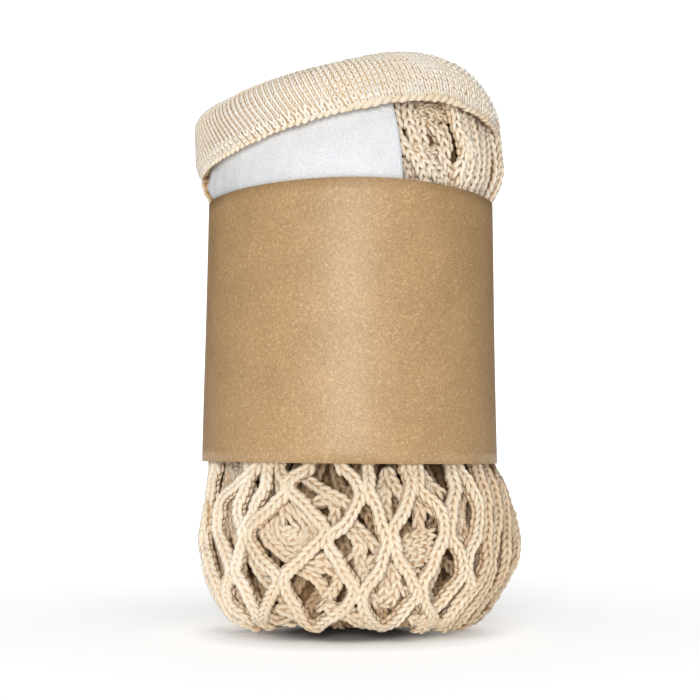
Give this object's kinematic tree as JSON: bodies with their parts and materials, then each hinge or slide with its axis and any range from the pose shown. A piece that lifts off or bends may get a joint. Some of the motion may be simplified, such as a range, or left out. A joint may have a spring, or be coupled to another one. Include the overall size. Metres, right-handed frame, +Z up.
{
  "type": "rolled net shopper bag in a paper sleeve",
  "caption": "Knitted cotton net shopper bag, folded and rolled up, standing on end with its rim turned down over the top and a kraft paper sleeve around its middle.",
  "frame": {"origin": "on the floor, under the middle of the roll's bounding box", "axes": "+Z up along the roll, -Y towards the side with the label, +X to the viewer's right"},
  "size_m": [0.0947, 0.0922, 0.1618],
  "materials": {
    "cotton_knit": "matt knitted cotton yarn",
    "label_cloth": "matt plain-woven cotton",
    "kraft_paper": "matt brown kraft paper"
  },
  "bodies": {
    "root": {"outer_net": "cotton_knit", "rolled_layers": "cotton_knit", "rim_band": "cotton_knit", "knit_strap": "cotton_knit", "cloth_label": "label_cloth", "paper_sleeve": "kraft_paper"}
  },
  "joints": []
}
